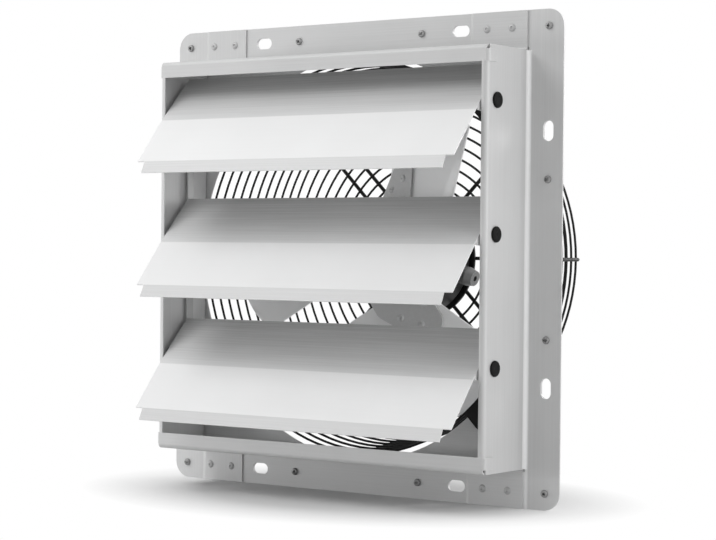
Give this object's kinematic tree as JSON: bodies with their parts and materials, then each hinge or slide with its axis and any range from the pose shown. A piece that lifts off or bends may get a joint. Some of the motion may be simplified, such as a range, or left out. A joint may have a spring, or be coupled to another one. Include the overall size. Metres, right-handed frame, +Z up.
{
  "type": "shuttered wall exhaust fan",
  "caption": "Square sheet-metal wall exhaust fan: a flanged box frame with linked tilting louvers in front and a fan wheel and motor in a wire cage behind.",
  "frame": {"origin": "centre of the round orifice on the wall face, which is the rear face of the fan panel", "axes": "+Y runs back through the wall, +Z up, +X to the right when facing the louvers"},
  "size_m": [0.387, 0.204, 0.387],
  "materials": {
    "frame_aluminium": "satin",
    "louver_aluminium": "satin",
    "panel_aluminium": "satin",
    "blade_aluminium": "satin",
    "rivet_aluminium": "satin",
    "guard_paint": "satin",
    "motor_paint": "satin",
    "plain_steel": "satin",
    "black_nylon": "matte"
  },
  "bodies": {
    "frame": {"left_rail": "frame_aluminium", "right_rail": "frame_aluminium", "top_rail": "frame_aluminium", "bottom_rail": "frame_aluminium", "corner_rivets": "rivet_aluminium", "fan_panel": "panel_aluminium", "panel_screws": "plain_steel", "guard": "guard_paint", "guard_screws": "plain_steel", "motor_plate": "guard_paint", "motor_screws": "plain_steel", "motor_rear_cap": "motor_paint", "motor_front_cap": "motor_paint", "front_bearing": "plain_steel", "rear_bearing": "plain_steel", "stator": "plain_steel", "cable_gland": "plain_steel", "pivot_bushes": "black_nylon"},
    "fan_wheel": {"rotor_core": "plain_steel", "shaft": "plain_steel", "hub": "plain_steel", "blade_rivets": "rivet_aluminium", "hub_nut": "plain_steel", "fan_blade_1": "blade_aluminium", "fan_blade_2": "blade_aluminium", "fan_blade_3": "blade_aluminium"},
    "shutter_1": {"louver_1": "louver_aluminium", "louver_1_pivot_pins": "plain_steel", "louver_1_crank_pin": "plain_steel"},
    "shutter_2": {"louver_2": "louver_aluminium", "louver_2_pivot_pins": "plain_steel", "louver_2_crank_pin": "plain_steel"},
    "shutter_3": {"louver_3": "louver_aluminium", "louver_3_pivot_pins": "plain_steel", "louver_3_crank_pin": "plain_steel"},
    "link": {"tie_bar": "rivet_aluminium"}
  },
  "joints": [
    {"name": "fan_spin", "type": "hinge", "parent": "frame", "child": "fan_wheel", "pos_m": [0, 0.03, 0], "axis": [0, 1, 0], "continuous": true},
    {"name": "louver_1_swing", "type": "hinge", "parent": "frame", "child": "shutter_1", "pos_m": [0, -0.0488, 0.1208], "axis": [-1, 0, 0], "range_deg": [-33, 25]},
    {"name": "louver_2_swing", "type": "hinge", "parent": "frame", "child": "shutter_2", "pos_m": [0, -0.0488, 0.019], "axis": [-1, 0, 0], "range_deg": [-33, 25]},
    {"name": "louver_3_swing", "type": "hinge", "parent": "frame", "child": "shutter_3", "pos_m": [0, -0.0488, -0.0828], "axis": [-1, 0, 0], "range_deg": [-33, 25]},
    {"name": "tie_bar_turn", "type": "hinge", "parent": "shutter_1", "child": "link", "pos_m": [-0.1581, -0.02799, 0.13567], "axis": [-1, 0, 0], "range_deg": [-25, 33]}
  ],
  "couplings": [
    {"joint": "louver_2_swing", "follows": "louver_1_swing", "ratio": 1},
    {"joint": "louver_3_swing", "follows": "louver_1_swing", "ratio": 1},
    {"joint": "tie_bar_turn", "follows": "louver_1_swing", "ratio": -1}
  ]
}
